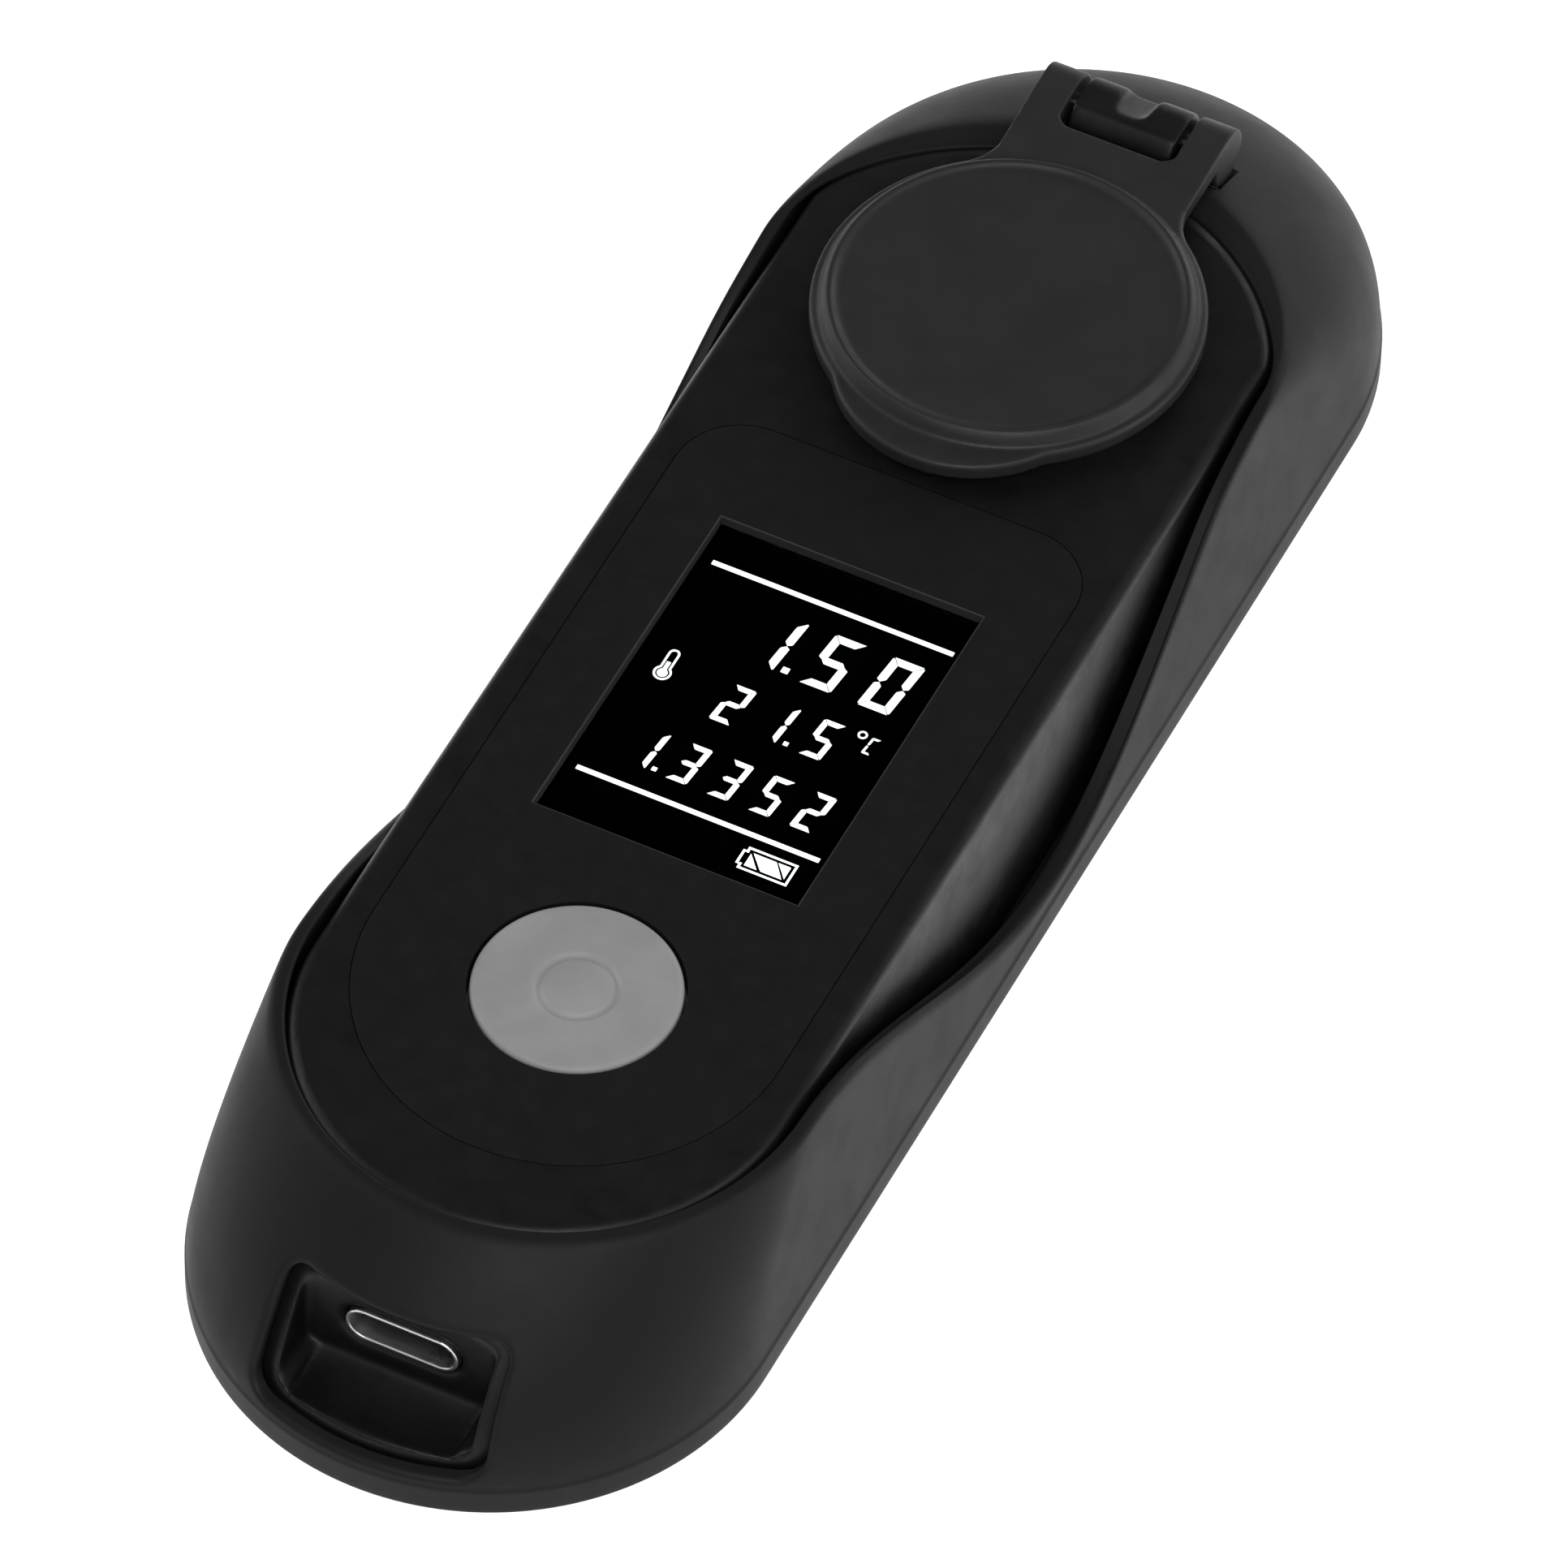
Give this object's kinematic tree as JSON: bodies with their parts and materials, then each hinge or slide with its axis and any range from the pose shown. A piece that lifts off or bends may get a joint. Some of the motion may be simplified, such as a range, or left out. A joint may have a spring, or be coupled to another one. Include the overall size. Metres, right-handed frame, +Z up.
{
  "type": "refractometer",
  "caption": "Handheld digital refractometer in a slip-on rubber boot, with a flip lid over a steel sample well, a display, a push button and a charging socket.",
  "frame": {"origin": "middle of the whole object in plan, on the surface it rests on", "axes": "+X to the right, +Y towards the lid hinge, +Z up through the display face"},
  "size_m": [0.0436, 0.142, 0.021],
  "materials": {
    "boot_rubber": "soft matte",
    "housing_plastic": "fine satin",
    "label_film": "satin film",
    "lid_plastic": "fine satin",
    "window_clear": "polished",
    "display_black": "polished",
    "light_guide": "satin",
    "frame_plastic": "satin",
    "flex_amber": "satin",
    "socket_ivory": "satin",
    "button_silicone": "translucent satin",
    "switch_plastic": "satin",
    "plunger_plastic": "satin",
    "board_green": "solder mask",
    "chip_black": "matte",
    "bright_steel": "bright",
    "screw_steel": "zinc plated",
    "well_steel": "polished",
    "pin_steel": "drawn",
    "ring_brass": "turned",
    "prism_glass": "optical",
    "lens_glass": "optical",
    "seal_rubber": "matte",
    "block_black": "black anodised",
    "lamp_resin": "clear",
    "sensor_ceramic": "matte",
    "probe_resin": "epoxy",
    "battery_wrap": "foil",
    "pad_foam": "foam tape",
    "lead_red": "satin",
    "contact_plastic": "matte"
  },
  "bodies": {
    "housing": {"rubber_boot": "boot_rubber", "upper_housing": "housing_plastic", "lower_housing": "housing_plastic", "housing_gasket": "seal_rubber", "housing_screws": "screw_steel", "face_label": "label_film", "display_window": "window_clear", "display_glass": "display_black", "display_backlight": "light_guide", "display_frame": "frame_plastic", "display_flex": "flex_amber", "display_socket": "socket_ivory", "switch_body": "switch_plastic", "main_board": "board_green", "board_screws": "screw_steel", "board_chips": "chip_black", "usb_shell": "bright_steel", "usb_tongue": "contact_plastic", "battery_pad": "pad_foam", "battery_cell": "battery_wrap", "battery_plug": "socket_ivory", "battery_leads": "lead_red", "sample_well": "well_steel", "well_seal": "seal_rubber", "well_clamp_ring": "ring_brass", "prism": "prism_glass", "prism_seal": "seal_rubber", "optics_block": "block_black", "optics_screws": "screw_steel", "light_source": "lamp_resin", "light_board": "board_green", "focus_lens": "lens_glass", "line_sensor": "sensor_ceramic", "sensor_board": "board_green", "temperature_probe": "probe_resin", "sensor_ribbon": "flex_amber", "ribbon_socket": "socket_ivory", "hinge_pin": "pin_steel"},
    "lid": {"sample_lid": "lid_plastic", "lid_seal": "seal_rubber"},
    "button": {"button_cap": "button_silicone", "switch_plunger": "plunger_plastic"}
  },
  "joints": [
    {"name": "lid_hinge", "type": "hinge", "parent": "housing", "child": "lid", "pos_m": [0, 0.0561, 0.018], "axis": [-1, 0, 0], "range_deg": [0, 165]},
    {"name": "button_press", "type": "slide", "parent": "housing", "child": "button", "axis": [0, 0, -1], "range_m": [0, 0.0005], "stiffness_N_per_m": 1500}
  ]
}
